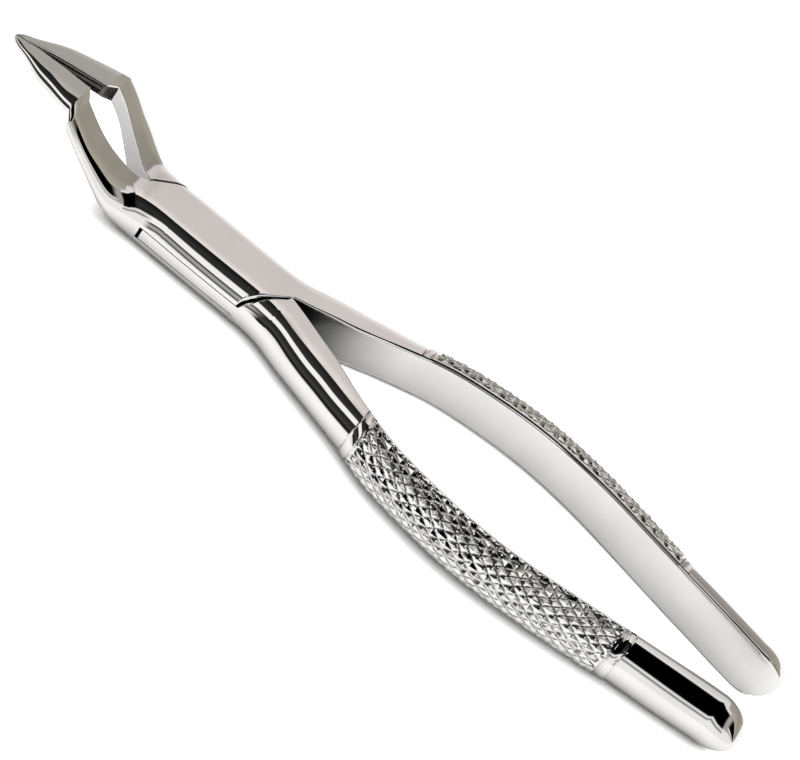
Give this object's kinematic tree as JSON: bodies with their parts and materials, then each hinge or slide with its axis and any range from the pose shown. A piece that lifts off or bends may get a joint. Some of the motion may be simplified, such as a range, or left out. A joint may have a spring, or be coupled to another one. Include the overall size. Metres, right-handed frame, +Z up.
{
  "type": "extraction forceps",
  "caption": "Closed bayonet extraction forceps of polished steel with a box joint, long pointed hollowed beaks set above the handles, and knurled handles with smooth rounded ends.",
  "frame": {"origin": "on the pivot axis, at the flat bottom face of the box joint", "axes": "+X along the tool towards the handle ends, +Y towards the box half's handle, +Z up along the pivot axis, the way the beaks are offset"},
  "size_m": [0.1753, 0.0422, 0.0214],
  "materials": {
    "box_half_steel": "mirror polished stainless steel, satin on the handle's flat inner face",
    "tongue_half_steel": "mirror polished stainless steel, satin on the handle's flat inner face",
    "pin_steel": "mirror polished stainless steel, ends ground flush"
  },
  "bodies": {
    "box_half": {"box_half": "box_half_steel", "joint_pin": "pin_steel"},
    "tongue_half": {"tongue_half": "tongue_half_steel"}
  },
  "joints": [
    {"name": "jaw_opening", "type": "hinge", "parent": "box_half", "child": "tongue_half", "pos_m": [0, 0, 0.0048], "axis": [0, 0, -1], "range_deg": [0, 30]}
  ]
}
